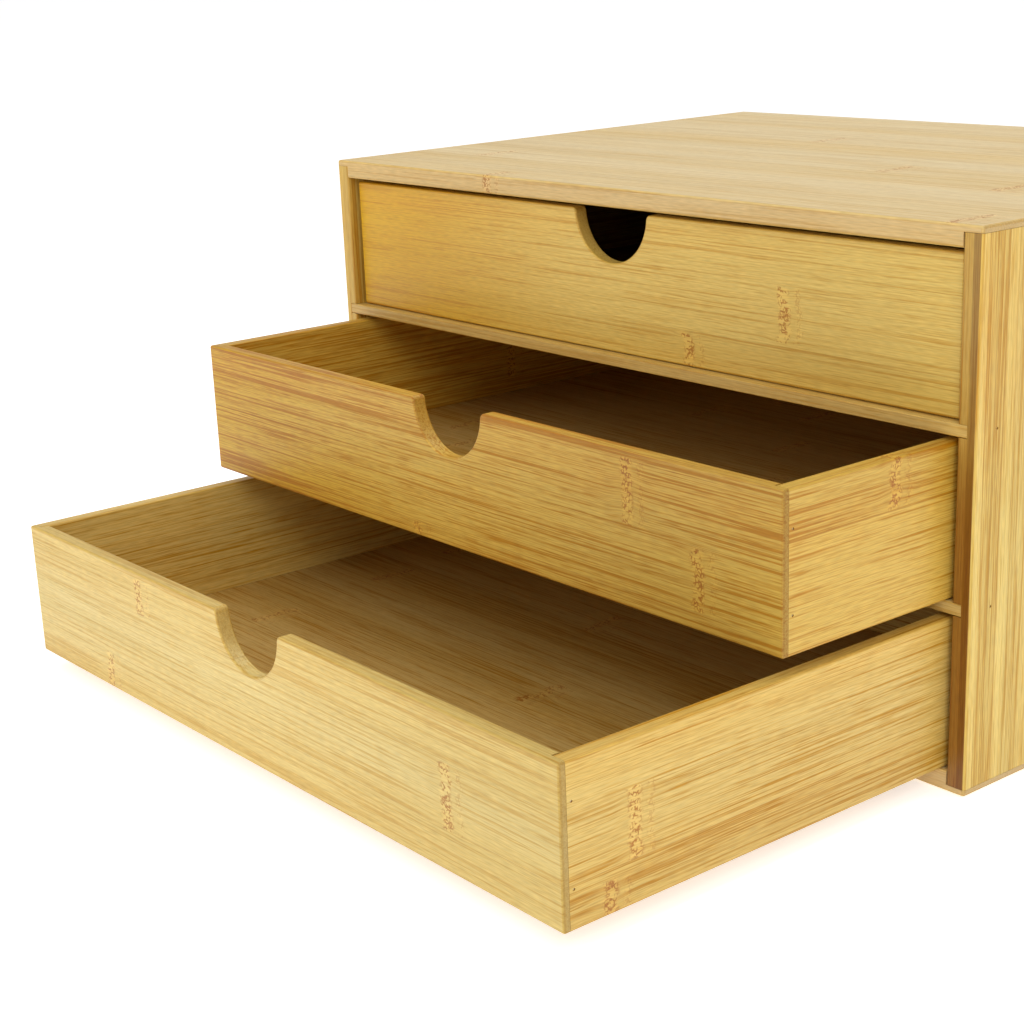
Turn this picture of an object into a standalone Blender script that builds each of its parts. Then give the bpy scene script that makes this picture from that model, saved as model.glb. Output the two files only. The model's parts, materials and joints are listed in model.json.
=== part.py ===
"""Bamboo desk organizer: an open-fronted case with three stacked drawers.

The case is seven boards: a top and a bottom that lap over the side panels with rabbets, two thin
dividers housed in dadoes, and a back let into the rear edges. Each drawer is a front and a back
whose thin tongues cover the ends of the two sides, with a thin bottom held in a groove all round
and a half-round finger notch in the front. Headless pins hold the drawer corners and the
dividers. Every drawer slides along Y; the middle and the bottom one stand partly pulled out.

Metres, +Z up, front facing -Y, +X to the right. The origin is the middle of the case's underside.
"""

import math

import bmesh
import bpy
from mathutils import Matrix, Vector

# Case
CASE_WIDTH = 0.330
CASE_DEPTH = 0.240
CASE_HEIGHT = 0.180
CASE_BOARD = 0.007
DIVIDER_BOARD = 0.004
BACK_BOARD = 0.004
CASE_TONGUE = 0.0022
DADO_DEPTH = 0.0038
BACK_LAP = 0.0034

# Drawers
DRAWER_WALL = 0.0055
DRAWER_TONGUE = 0.0022
DRAWER_FLOOR = 0.003
FLOOR_HEIGHT = 0.0035
GROOVE_DEPTH = 0.0022
SIDE_CLEARANCE = 0.002
TOP_CLEARANCE = 0.0018
FRONT_RECESS = 0.0035
NOTCH_RADIUS = 0.0185
NOTCH_SHOULDER = 0.002
PULLED_OUT = {"top": 0.0, "middle": 0.0768, "bottom": 0.1618}

# Pins
PIN_RADIUS = 0.0004
PIN_LENGTH = 0.015
PIN_TIP = 0.0012
PIN_SUNK = 0.0003
PIN_SIDES = 10
DRAWER_PIN_HEIGHTS = (0.0125, 0.0385)
DIVIDER_PIN_SETBACKS = (0.010, 0.220)

# Fits and edges
FIT_GAP = 0.0003
CASE_EDGE_RADIUS = 0.0010
DRAWER_EDGE_RADIUS = 0.0008
THIN_EDGE_RADIUS = 0.0004
EDGE_SEGMENTS = 2
NOTCH_SEGMENTS = 28
SHOULDER_SEGMENTS = 4
CUT_OVERSHOOT = 0.002

# Positions that follow from them
HALF_WIDTH = CASE_WIDTH / 2
HALF_DEPTH = CASE_DEPTH / 2
INNER_HALF_WIDTH = HALF_WIDTH - CASE_BOARD
BAY_HEIGHT = (CASE_HEIGHT - 2 * CASE_BOARD - 2 * DIVIDER_BOARD) / 3
BAY_PITCH = BAY_HEIGHT + DIVIDER_BOARD
BAY_FLOORS = {
    "bottom": CASE_BOARD,
    "middle": CASE_BOARD + BAY_PITCH,
    "top": CASE_BOARD + 2 * BAY_PITCH,
}
BACK_FACE = HALF_DEPTH - BACK_BOARD
DRAWER_HALF_WIDTH = INNER_HALF_WIDTH - SIDE_CLEARANCE
DRAWER_HEIGHT = BAY_HEIGHT - TOP_CLEARANCE - FIT_GAP
DRAWER_LENGTH = CASE_DEPTH - BACK_BOARD - FRONT_RECESS - FIT_GAP
SHOULDER_X = DRAWER_HALF_WIDTH - DRAWER_WALL - FIT_GAP

MATERIALS = {
    "bamboo_case": ((0.62, 0.41, 0.15), 0.45, 0.0),
    "bamboo_drawer": ((0.66, 0.42, 0.14), 0.45, 0.0),
    "bamboo_thin": ((0.58, 0.37, 0.13), 0.55, 0.0),
    "steel_pin": ((0.45, 0.44, 0.42), 0.35, 1.0),
}


def clear_scene():
    """Remove every object of the scene that the file opens with."""
    for obj in list(bpy.data.objects):
        bpy.data.objects.remove(obj, do_unlink=True)


def make_material(name, color, roughness, metallic):
    """Return a Principled material."""
    material = bpy.data.materials.new(name)
    material.use_nodes = True
    shader = material.node_tree.nodes["Principled BSDF"]
    shader.inputs["Base Color"].default_value = (*color, 1.0)
    shader.inputs["Roughness"].default_value = roughness
    shader.inputs["Metallic"].default_value = metallic
    return material


def add_object(name, mesh, location, material, parent=None):
    """Link a mesh as one named object at a location in its parent's frame."""
    obj = bpy.data.objects.new(name, mesh)
    bpy.context.scene.collection.objects.link(obj)
    obj.location = location
    if parent is not None:
        obj.parent = parent
    if material is not None:
        mesh.materials.append(material)
    return obj


def add_box(mesh_data, low, high):
    """Add a closed box between two corners and return its vertices."""
    size = Vector(high) - Vector(low)
    middle = (Vector(high) + Vector(low)) / 2
    transform = Matrix.Translation(middle) @ Matrix.Diagonal((*size, 1.0))
    return bmesh.ops.create_cube(mesh_data, size=1.0, matrix=transform)["verts"]


def outward_side(vertex_pair, low, high):
    """Return the box faces, such as '-y', that an edge of the box lies on."""
    sides = set()
    for index, axis in enumerate("xyz"):
        values = [vertex.co[index] for vertex in vertex_pair]
        if max(values) - min(values) < 1e-7:
            middle = (low[index] + high[index]) / 2
            sides.add(("-" if values[0] < middle else "+") + axis)
    return sides


def round_edges(mesh_data, edges, radius):
    """Ease the given edges of a board."""
    bmesh.ops.bevel(
        mesh_data,
        geom=edges,
        offset=radius,
        segments=EDGE_SEGMENTS,
        profile=0.5,
        affect="EDGES",
        clamp_overlap=True,
    )


def finish_mesh(name, mesh_data):
    """Turn a bmesh into a mesh with outward faces."""
    bmesh.ops.recalc_face_normals(mesh_data, faces=mesh_data.faces)
    mesh = bpy.data.meshes.new(name)
    mesh_data.to_mesh(mesh)
    mesh_data.free()
    return mesh


def cut_away(obj, cutter_mesh):
    """Subtract a closed mesh, given in the object's own frame, and keep the result as its mesh."""
    cutter = bpy.data.objects.new(obj.name + "_cutter", cutter_mesh)
    bpy.context.scene.collection.objects.link(cutter)
    cutter.hide_render = True
    cutter.display_type = "WIRE"
    cutter.parent = obj
    cut = obj.modifiers.new("cut", "BOOLEAN")
    cut.operation = "DIFFERENCE"
    cut.solver = "EXACT"
    cut.object = cutter
    bpy.context.view_layer.update()
    evaluated = obj.evaluated_get(bpy.context.evaluated_depsgraph_get())
    result = bpy.data.meshes.new_from_object(evaluated)
    obj.modifiers.remove(cut)
    obj.data = result
    bpy.data.objects.remove(cutter, do_unlink=True)


def cut_boxes(obj, boxes):
    """Cut boxes, given in the parent's frame, out of a board."""
    for low, high in boxes:
        mesh_data = bmesh.new()
        add_box(mesh_data, Vector(low) - obj.location, Vector(high) - obj.location)
        cut_away(obj, finish_mesh("cutter", mesh_data))


def add_rod(mesh_data, start, length, radius, direction):
    """Add a closed rod that runs along X from a start point, in direction 1 or -1."""
    centre = Vector(start) + Vector((direction * length / 2, 0, 0))
    bmesh.ops.create_cone(
        mesh_data,
        cap_ends=True,
        segments=PIN_SIDES,
        radius1=radius,
        radius2=radius,
        depth=length,
        matrix=Matrix.Translation(centre) @ Matrix.Rotation(math.pi / 2, 4, "Y"),
    )


def drill(obj, heads, inward):
    """Drill a clearance hole for each pin head, given in the parent's frame."""
    for head in heads:
        start = Vector(head) - obj.location
        start.x -= inward * CUT_OVERSHOOT
        mesh_data = bmesh.new()
        depth = CUT_OVERSHOOT + PIN_LENGTH + FIT_GAP
        add_rod(mesh_data, start, depth, PIN_RADIUS + FIT_GAP, inward)
        cut_away(obj, finish_mesh("hole", mesh_data))


def board(name, low, high, material, radius, crisp=(), parent=None):
    """Make a board between two corners; edges on its crisp faces stay sharp."""
    middle = (Vector(low) + Vector(high)) / 2
    low = Vector(low) - middle
    high = Vector(high) - middle
    mesh_data = bmesh.new()
    add_box(mesh_data, low, high)
    edges = []
    for edge in mesh_data.edges:
        if not outward_side(edge.verts, low, high) & set(crisp):
            edges.append(edge)
    if edges:
        round_edges(mesh_data, edges, radius)
    return add_object(name, finish_mesh(name, mesh_data), middle, material, parent)


def make_pin(name, head, inward, material, parent=None):
    """Make a headless pin whose flat end lies just under the surface it was driven into."""
    mesh_data = bmesh.new()
    shank = PIN_LENGTH - PIN_SUNK - PIN_TIP
    rings = []
    for distance in (0.0, shank):
        ring = []
        for step in range(PIN_SIDES):
            angle = 2 * math.pi * step / PIN_SIDES
            y = PIN_RADIUS * math.cos(angle)
            z = PIN_RADIUS * math.sin(angle)
            ring.append(mesh_data.verts.new((inward * distance, y, z)))
        rings.append(ring)
    tip = mesh_data.verts.new((inward * (shank + PIN_TIP), 0, 0))
    mesh_data.faces.new(rings[0])
    for step in range(PIN_SIDES):
        after = (step + 1) % PIN_SIDES
        mesh_data.faces.new((rings[0][step], rings[0][after], rings[1][after], rings[1][step]))
        mesh_data.faces.new((rings[1][step], rings[1][after], tip))
    mesh = finish_mesh(name, mesh_data)
    mesh.shade_smooth()
    mesh.set_sharp_from_angle(angle=math.radians(40))
    place = Vector(head) + Vector((inward * PIN_SUNK, 0, 0))
    return add_object(name, mesh, place, material, parent)


def divider_pin_heads(side, floor):
    """Return where the pins enter a side panel to hold the divider under a bay's floor."""
    height = floor - DIVIDER_BOARD / 2
    return [(side * HALF_WIDTH, setback - HALF_DEPTH, height) for setback in DIVIDER_PIN_SETBACKS]


def make_case(materials):
    """Build the seven boards of the case and the pins of its dividers."""
    wood = materials["bamboo_case"]
    thin = materials["bamboo_thin"]
    shoulder = INNER_HALF_WIDTH - FIT_GAP
    beyond = HALF_WIDTH + CUT_OVERSHOOT
    front = -HALF_DEPTH
    rear = HALF_DEPTH + CUT_OVERSHOOT
    back_seat = BACK_FACE - FIT_GAP
    lap = BACK_LAP + FIT_GAP

    for name, outer, inner in (
        ("top_panel", CASE_HEIGHT, CASE_HEIGHT - CASE_BOARD),
        ("bottom_panel", 0.0, CASE_BOARD),
    ):
        inward = 1 if inner > outer else -1
        z_low, z_high = sorted((outer, inner))
        panel = board(
            name,
            (-HALF_WIDTH, front, z_low),
            (HALF_WIDTH, HALF_DEPTH, z_high),
            wood,
            CASE_EDGE_RADIUS,
        )
        tongue_face = outer + inward * CASE_TONGUE
        past_inner = inner + inward * CUT_OVERSHOOT
        z_cut = sorted((tongue_face, past_inner))
        cuts = []
        for side in (-1, 1):
            x_cut = sorted((side * shoulder, side * beyond))
            cuts.append(
                ((x_cut[0], front - CUT_OVERSHOOT, z_cut[0]), (x_cut[1], rear, z_cut[1]))
            )
        z_back = sorted((inner - inward * lap, past_inner))
        cuts.append(((-beyond, back_seat, z_back[0]), (beyond, rear, z_back[1])))
        cut_boxes(panel, cuts)

    side_bottom = CASE_TONGUE + FIT_GAP
    side_top = CASE_HEIGHT - CASE_TONGUE - FIT_GAP
    back_low = CASE_BOARD - BACK_LAP
    back_high = CASE_HEIGHT - CASE_BOARD + BACK_LAP
    for side, name in ((-1, "left_side_panel"), (1, "right_side_panel")):
        x_low, x_high = sorted((side * INNER_HALF_WIDTH, side * HALF_WIDTH))
        panel = board(
            name,
            (x_low, front, side_bottom),
            (x_high, HALF_DEPTH, side_top),
            wood,
            CASE_EDGE_RADIUS,
            crisp=("-z", "+z"),
        )
        inside = side * (INNER_HALF_WIDTH - CUT_OVERSHOOT)
        dado_x = sorted((inside, side * (INNER_HALF_WIDTH + DADO_DEPTH)))
        back_x = sorted((inside, side * (INNER_HALF_WIDTH + lap)))
        cuts = []
        for floor in (BAY_FLOORS["middle"], BAY_FLOORS["top"]):
            low = (dado_x[0], front - CUT_OVERSHOOT, floor - DIVIDER_BOARD - FIT_GAP)
            high = (dado_x[1], back_seat, floor + FIT_GAP)
            cuts.append((low, high))
        cuts.append(
            ((back_x[0], back_seat, back_low - FIT_GAP), (back_x[1], rear, back_high + FIT_GAP))
        )
        cut_boxes(panel, cuts)
        for floor in (BAY_FLOORS["middle"], BAY_FLOORS["top"]):
            drill(panel, divider_pin_heads(side, floor), -side)

    half_length = INNER_HALF_WIDTH + DADO_DEPTH - FIT_GAP
    for name, bay in (("lower_divider", "middle"), ("upper_divider", "top")):
        floor = BAY_FLOORS[bay]
        divider = board(
            name,
            (-half_length, front, floor - DIVIDER_BOARD),
            (half_length, back_seat, floor),
            thin,
            THIN_EDGE_RADIUS,
            crisp=("-x", "+x", "+y"),
        )
        for side, side_name in ((-1, "left"), (1, "right")):
            heads = divider_pin_heads(side, floor)
            drill(divider, heads, -side)
            for head, place in zip(heads, ("front", "rear")):
                pin_name = f"{name}_{side_name}_{place}_pin"
                make_pin(pin_name, head, -side, materials["steel_pin"])

    board(
        "back_panel",
        (-INNER_HALF_WIDTH - BACK_LAP, BACK_FACE, back_low),
        (INNER_HALF_WIDTH + BACK_LAP, HALF_DEPTH, back_high),
        thin,
        THIN_EDGE_RADIUS,
    )


def arc(centre, radius, start, end, segments):
    """Return points along an arc, given as (x, z), from one angle to another."""
    points = []
    for step in range(segments + 1):
        angle = start + (end - start) * step / segments
        x = centre[0] + radius * math.cos(angle)
        z = centre[1] + radius * math.sin(angle)
        points.append((x, z))
    return points


def notched_outline():
    """Return the outline of a drawer front, as (x, z), with the finger notch in its top edge."""
    reach = NOTCH_RADIUS + NOTCH_SHOULDER
    shoulder_x = math.sqrt(reach**2 - NOTCH_SHOULDER**2)
    tilt = math.asin(NOTCH_SHOULDER / reach)
    top = DRAWER_HEIGHT
    outline = [
        (-DRAWER_HALF_WIDTH, 0.0),
        (DRAWER_HALF_WIDTH, 0.0),
        (DRAWER_HALF_WIDTH, top),
    ]
    right = (shoulder_x, top - NOTCH_SHOULDER)
    left = (-shoulder_x, top - NOTCH_SHOULDER)
    quarter = math.pi / 2
    outline += arc(right, NOTCH_SHOULDER, quarter, math.pi - tilt, SHOULDER_SEGMENTS)
    outline += arc((0.0, top), NOTCH_RADIUS, -tilt, tilt - math.pi, NOTCH_SEGMENTS)[1:-1]
    outline += arc(left, NOTCH_SHOULDER, tilt, quarter, SHOULDER_SEGMENTS)
    outline.append((-DRAWER_HALF_WIDTH, top))
    return outline


def notched_front(name, material, parent):
    """Make a drawer front from its outline, with every outer edge eased."""
    mesh_data = bmesh.new()
    outline = [mesh_data.verts.new((x, 0.0, z)) for x, z in notched_outline()]
    face = mesh_data.faces.new(outline)
    grown = bmesh.ops.extrude_face_region(mesh_data, geom=[face])["geom"]
    moved = [item for item in grown if isinstance(item, bmesh.types.BMVert)]
    bmesh.ops.translate(mesh_data, verts=moved, vec=(0, DRAWER_WALL, 0))
    bmesh.ops.recalc_face_normals(mesh_data, faces=mesh_data.faces)
    edges = []
    for edge in mesh_data.edges:
        across = abs(edge.verts[0].co.y - edge.verts[1].co.y) > 1e-7
        if not across or edge.calc_face_angle() > math.radians(60):
            edges.append(edge)
    round_edges(mesh_data, edges, DRAWER_EDGE_RADIUS)
    middle = Vector((0, DRAWER_WALL / 2, DRAWER_HEIGHT / 2))
    bmesh.ops.translate(mesh_data, verts=mesh_data.verts, vec=-middle)
    return add_object(name, finish_mesh(name, mesh_data), middle, material, parent)


def drawer_pin_heads(side, end):
    """Return where the pins enter a drawer side to hold the front or the back."""
    setback = (DRAWER_TONGUE + FIT_GAP + DRAWER_WALL) / 2
    y = setback if end == "front" else DRAWER_LENGTH - setback
    return [(side * DRAWER_HALF_WIDTH, y, height) for height in DRAWER_PIN_HEIGHTS]


def make_drawer(position, materials):
    """Build one drawer under an empty at the middle of its front's lower edge."""
    wood = materials["bamboo_drawer"]
    slide = bpy.data.objects.new(position + "_drawer_slide", None)
    bpy.context.scene.collection.objects.link(slide)
    slide.location = (
        0,
        FRONT_RECESS - HALF_DEPTH - PULLED_OUT[position],
        BAY_FLOORS[position] + FIT_GAP,
    )
    prefix = position + "_drawer_"
    groove_low = FLOOR_HEIGHT - FIT_GAP
    groove_high = FLOOR_HEIGHT + DRAWER_FLOOR + FIT_GAP
    beyond = DRAWER_HALF_WIDTH + CUT_OVERSHOOT
    over = DRAWER_HEIGHT + CUT_OVERSHOOT

    front = notched_front(prefix + "front", wood, slide)
    back = board(
        prefix + "back",
        (-DRAWER_HALF_WIDTH, DRAWER_LENGTH - DRAWER_WALL, 0),
        (DRAWER_HALF_WIDTH, DRAWER_LENGTH, DRAWER_HEIGHT),
        wood,
        DRAWER_EDGE_RADIUS,
        parent=slide,
    )
    for end, inward, outer_face in ((front, 1, 0.0), (back, -1, DRAWER_LENGTH)):
        inner_face = outer_face + inward * DRAWER_WALL
        past_inner = inner_face + inward * CUT_OVERSHOOT
        rabbet_y = sorted((outer_face + inward * DRAWER_TONGUE, past_inner))
        groove_y = sorted((inner_face - inward * GROOVE_DEPTH, past_inner))
        cuts = []
        for side in (-1, 1):
            x_cut = sorted((side * SHOULDER_X, side * beyond))
            cuts.append(
                ((x_cut[0], rabbet_y[0], -CUT_OVERSHOOT), (x_cut[1], rabbet_y[1], over))
            )
        cuts.append(((-beyond, groove_y[0], groove_low), (beyond, groove_y[1], groove_high)))
        cut_boxes(end, cuts)

    side_front = DRAWER_TONGUE + FIT_GAP
    side_rear = DRAWER_LENGTH - DRAWER_TONGUE - FIT_GAP
    for side, side_name in ((-1, "left"), (1, "right")):
        inner = side * (DRAWER_HALF_WIDTH - DRAWER_WALL)
        x_low, x_high = sorted((inner, side * DRAWER_HALF_WIDTH))
        panel = board(
            prefix + side_name + "_side",
            (x_low, side_front, 0),
            (x_high, side_rear, DRAWER_HEIGHT),
            wood,
            DRAWER_EDGE_RADIUS,
            crisp=("-y", "+y"),
            parent=slide,
        )
        groove_x = sorted((inner - side * CUT_OVERSHOOT, inner + side * GROOVE_DEPTH))
        low = (groove_x[0], -CUT_OVERSHOOT, groove_low)
        high = (groove_x[1], DRAWER_LENGTH + CUT_OVERSHOOT, groove_high)
        cut_boxes(panel, [(low, high)])
        for end, end_name in ((front, "front"), (back, "back")):
            heads = drawer_pin_heads(side, end_name)
            drill(panel, heads, -side)
            drill(end, heads, -side)
            for head, height in zip(heads, ("lower", "upper")):
                pin_name = f"{prefix}{end_name}_{side_name}_{height}_pin"
                make_pin(pin_name, head, -side, materials["steel_pin"], slide)

    reach = GROOVE_DEPTH - FIT_GAP
    floor_half_width = DRAWER_HALF_WIDTH - DRAWER_WALL + reach
    board(
        prefix + "floor",
        (-floor_half_width, DRAWER_WALL - reach, FLOOR_HEIGHT),
        (floor_half_width, DRAWER_LENGTH - DRAWER_WALL + reach, FLOOR_HEIGHT + DRAWER_FLOOR),
        materials["bamboo_thin"],
        THIN_EDGE_RADIUS,
        parent=slide,
    )


def main():
    """Build the case and its three drawers."""
    clear_scene()
    materials = {name: make_material(name, *values) for name, values in MATERIALS.items()}
    make_case(materials)
    for position in PULLED_OUT:
        make_drawer(position, materials)


main()
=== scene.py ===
"""Looks of the bamboo desk organizer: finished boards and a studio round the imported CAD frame.

Every CAD board is replaced by a finished one, built from the boxes of the frame's nodes: eased
edges, tight joints, pin holes and attributes that carry the board's grain directions, eased
edges and end grain, which the bamboo materials read. The pins stay the CAD's own.
"""

import json
import math
import random

import bmesh
import bpy
from mathutils import Euler, Matrix, Vector

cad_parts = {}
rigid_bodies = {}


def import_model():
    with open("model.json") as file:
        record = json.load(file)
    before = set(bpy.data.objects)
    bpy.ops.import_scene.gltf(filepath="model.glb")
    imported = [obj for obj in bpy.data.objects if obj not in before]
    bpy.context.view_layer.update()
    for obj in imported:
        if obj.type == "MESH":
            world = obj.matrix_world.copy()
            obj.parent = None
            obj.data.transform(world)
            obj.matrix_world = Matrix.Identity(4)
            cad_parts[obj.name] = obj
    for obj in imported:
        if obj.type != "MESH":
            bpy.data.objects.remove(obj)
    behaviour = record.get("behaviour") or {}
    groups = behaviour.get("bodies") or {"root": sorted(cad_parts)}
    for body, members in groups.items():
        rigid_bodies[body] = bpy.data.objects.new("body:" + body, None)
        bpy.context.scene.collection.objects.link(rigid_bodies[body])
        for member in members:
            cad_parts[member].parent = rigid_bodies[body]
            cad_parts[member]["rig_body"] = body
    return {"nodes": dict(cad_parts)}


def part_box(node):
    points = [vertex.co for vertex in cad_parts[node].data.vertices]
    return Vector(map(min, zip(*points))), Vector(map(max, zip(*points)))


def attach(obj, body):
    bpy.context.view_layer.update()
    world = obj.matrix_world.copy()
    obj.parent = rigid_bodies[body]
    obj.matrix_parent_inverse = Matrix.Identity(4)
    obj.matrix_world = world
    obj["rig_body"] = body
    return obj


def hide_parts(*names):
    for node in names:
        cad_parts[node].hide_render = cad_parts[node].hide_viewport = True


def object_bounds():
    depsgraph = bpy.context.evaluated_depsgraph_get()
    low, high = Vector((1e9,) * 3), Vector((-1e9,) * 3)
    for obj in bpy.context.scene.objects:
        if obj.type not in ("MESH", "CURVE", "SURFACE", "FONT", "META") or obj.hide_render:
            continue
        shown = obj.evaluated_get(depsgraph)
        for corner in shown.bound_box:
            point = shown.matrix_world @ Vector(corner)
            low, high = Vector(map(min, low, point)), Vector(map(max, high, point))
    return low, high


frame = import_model()
cad_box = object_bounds()

X, Y, Z = Vector((1, 0, 0)), Vector((0, 1, 0)), Vector((0, 0, 1))

# Joints and edges, metres
CAD_GAP = 0.0003        # clearance that the frame keeps between boards
SEAM = 0.0001           # gap left at a finished joint
GROW = CAD_GAP - SEAM
CASE_EDGE = 0.0009
DRAWER_EDGE = 0.0008
THIN_EDGE = 0.0004
EDGE_SEGMENTS = 4
EASED_WIDTH = 0.0005    # a face of an eased edge is narrower than this
OVERSHOOT = 0.002       # how far a cutter reaches past the board
SAME = 1e-7             # coordinates closer than this are the same
MERGE = 1e-6            # vertices closer than this are merged

# Shading of the boards' meshes
FLAT_ANGLE = math.radians(0.5)
SHARP_ANGLE = math.radians(32)
CORNER_ANGLE = math.radians(60)
NORMAL_WEIGHT = 80
ALIGNED = 0.9999        # part of a face's normal that lies along an axis, on an untilted face
END_GRAIN_FROM = 0.35   # how far a face turns to the grain before it shows end grain
END_GRAIN_RANGE = 0.5

# Finger notch and pin holes, metres
NOTCH_RADIUS = 0.0185
NOTCH_SHOULDER = 0.002
NOTCH_SEGMENTS = 56
SHOULDER_SEGMENTS = 8
HOLE_RADIUS = 0.00043
HOLE_DEPTH = 0.0025
HOLE_SIDES = 16

# Strips of flat-pressed bamboo, metres
STRIP = 0.021
THIN_STRIP = 0.0047     # a strip of the side panels
GLUE_LINE = 0.00018
STRIP_OVERLAP = 0.001   # how far the strips at a board's edges reach past it

# Bamboo patterns: features per metre along, across and through the grain
BUNDLES = (12, 1150, 1150)
HAIRS = (24, 2100, 2100)
DASHES = (80, 1500, 1500)
FLECKS = (240, 2300, 2300)
BROAD_TONE = (4, 230, 230)
SLOW_TONE = (1.8, 38, 38)
KNUCKLE_WANDER = (12, 140, 140)
KNUCKLE_WARP = (420, 420, 420)
KNUCKLE_BREAKS = (420, 760, 760)
KNUCKLE_CELLS = (820, 640, 640)

# Tints that multiply the colour between the fibres
WARM_TINT = (1.0, 0.91, 0.64)
FIBRE_TINT = (0.71, 0.48, 0.02)
GLUE_TINT = (0.62, 0.48, 0.30)
# end grain: its own darker tone, deepened by painted shade, as on the notch's rim
END_GRAIN_AND_SHADE_TINT = (0.74, 0.68, 0.62)
EASED_TINT = (0.94, 0.88, 0.68)
BAND_TINT = (1.12, 1.12, 1.12)
ZONE_TINT = (0.95, 0.87, 0.66)
CURL_TINT = (0.56, 0.31, 0.06)
NO_TINT = (1.0, 1.0, 1.0)

# Knuckles, metres from their middle line
WANDER = 0.005          # how far the middle line wanders
BEND = 0.004            # how far fibres bend round a knuckle
CORE = (0.0013, 0.0036)
TWIN_PLACE = 0.0062     # a faint second band lies here
TWIN = (0.0004, 0.0022)
TWIN_STRENGTH = 0.42
ZONE = (0.001, 0.010)
KNUCKLE_MARGIN = 0.001  # knuckles fade over this width at their strip's edges
WARP = 0.0022           # how far the curls are pulled out of shape
INTERNODE = 0.24        # usual distance from one knuckle to the next

# Fibres and tones: where on its noise each kind starts and ends, and how strong it is
BUNDLE_FROM, BUNDLE_RANGE = 0.645, 0.12
HAIR_RAMP = (0.44, 0.64)
DASH_RAMP = (0.56, 0.74)
WARM_RAMP = (0.35, 0.72)
CURL_RAMP = (0.04, 0.24)
BREAK_RAMP = (0.40, 0.56)
GROOVE_RAMP = (0.5, 0.66)
BUNDLE_MARK, HAIR_MARK, DASH_MARK = 0.66, 0.40, 0.34
BROAD_CROWD, SLOW_CROWD = 0.12, 0.10
BROAD_SHADE, FLECK_SHADE = -0.16, -0.32
ZONE_FADE, END_FADE = 0.5, 0.45     # how far the fibres fade round knuckles and on end grain
WARM, GLUE, ZONE_TONE, CURL = 0.75, 0.4, 0.35, 0.95
STRIP_WARMTH = 0.2      # how far a strip's tone goes with the warm patches

# Lacquer: roughness, and what broad tone, end grain and fibres add to it
ROUGHNESS, BROAD_ROUGH, END_ROUGH, FIBRE_ROUGH = 0.34, 0.18, 0.18, 0.10
COAT, COAT_ROUGHNESS, SPECULAR = 0.12, 0.32, 0.36
BUMP, BUMP_HEIGHT, PIN_BUMP_HEIGHT = 0.3, 0.0001, 0.00003
GROOVE = 0.6            # depth of a fibre's groove beside that of a glue line

# Tones of the bamboo between its fibres, linear
# top and bottom panels: the wood's tone with a pale, grey cast that is painted sheen
CAP_TONE_AND_SHEEN = (0.715, 0.555, 0.285)
SIDE_TONE = (0.655, 0.450, 0.112)
DIVIDER_TONE = (0.70, 0.52, 0.19)
# back panel and drawers' floors: darker, partly the wood's own tone and partly painted shade of
# the insides
INNER_TONE_AND_SHADE = (0.52, 0.34, 0.105)
FRONT_TONES = {
    "top": (0.64, 0.445, 0.102),
    "middle": (0.60, 0.39, 0.068),
    "bottom": (0.67, 0.515, 0.184),
}
WALL_TONES = {
    "top": (0.60, 0.40, 0.10),
    "middle": (0.595, 0.388, 0.071),
    "bottom": (0.63, 0.445, 0.130),
}

# Tints of the drawers' fronts and backs towards their left and right ends, and the ends' places.
# The tints are partly the wood's own tone and partly painted light and shade along the fronts.
TINTED_ENDS = (-0.13, 0.13)
END_TONE_AND_LIGHT_TINTS = {
    "top": ((0.92, 0.74, 0.03), (0.95, 0.96, 0.98)),
    "middle": ((0.98, 0.91, 0.20), (0.85, 0.84, 0.80)),
    "bottom": ((0.98, 0.97, 0.93), (0.89, 0.89, 0.88)),
}

# Strength of the fibres, spread of the strips' tones, and share of the knuckles kept
FRONT_FIBRES = {"top": 0.68, "middle": 1.35, "bottom": 0.6}
WALL_FIBRES = {"top": 0.9, "middle": 1.2, "bottom": 1.0}
CAP_FIBRES, CAP_VARIETY, CAP_KNUCKLES_KEPT = 0.45, 0.05, 0.3
CASE_SIDE_FIBRES, CASE_SIDE_VARIETY = 0.9, 0.18
DIVIDER_FIBRES, DIVIDER_KNUCKLES_KEPT = 0.6, 0.5

# Layers of the side panels, from the inner face on: depth, tint at the top, tint at the foot.
# The right panel's tints at the foot are partly its own tone and partly painted shade of the
# drawers.
FOOT_SHADE_RAMP = (0.045, -0.005)
SIDE_PLIES = {
    "left": (
        (0.0, (0.86, 0.80, 0.58), (0.86, 0.80, 0.58)),
        (0.0034, (0.95, 0.92, 0.74), (0.95, 0.92, 0.74)),
    ),
    "right": (
        (0.0, (0.70, 0.63, 0.48), (0.41, 0.27, 0.12)),
        (0.0038, (0.46, 0.38, 0.25), (0.29, 0.16, 0.02)),
        (0.0064, NO_TINT, (1.0, 1.07, 1.18)),
    ),
}

# Knuckles that the front view shows: place along the grain, and the strip's edges
EDGE_KNUCKLES = ((-0.0657, -0.001, 0.012),)
FRONT_KNUCKLES = {
    "top": ((0.084, 0.0135, 0.0330), (0.039, -0.001, 0.0120)),
    "middle": ((0.0902, 0.0265, 0.0490), (0.1217, 0.0055, 0.0265), (-0.0195, -0.001, 0.0055)),
    "bottom": ((-0.072, 0.0345, 0.0485), (-0.0997, -0.001, 0.0145), (0.105, 0.0130, 0.0350)),
}
SIDE_KNUCKLES = {
    "top": ((0.071, 0.012, 0.033), (0.160, 0.033, 0.052)),
    "middle": ((0.0474, 0.0345, 0.052), (0.150, 0.013, 0.0345)),
    "bottom": ((0.0263, 0.0135, 0.0365), (0.0175, -0.001, 0.0110), (0.182, 0.0365, 0.052)),
}
PLAIN_LEFT = 0.1         # a drawer's left side has no knuckle this near the front

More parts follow.
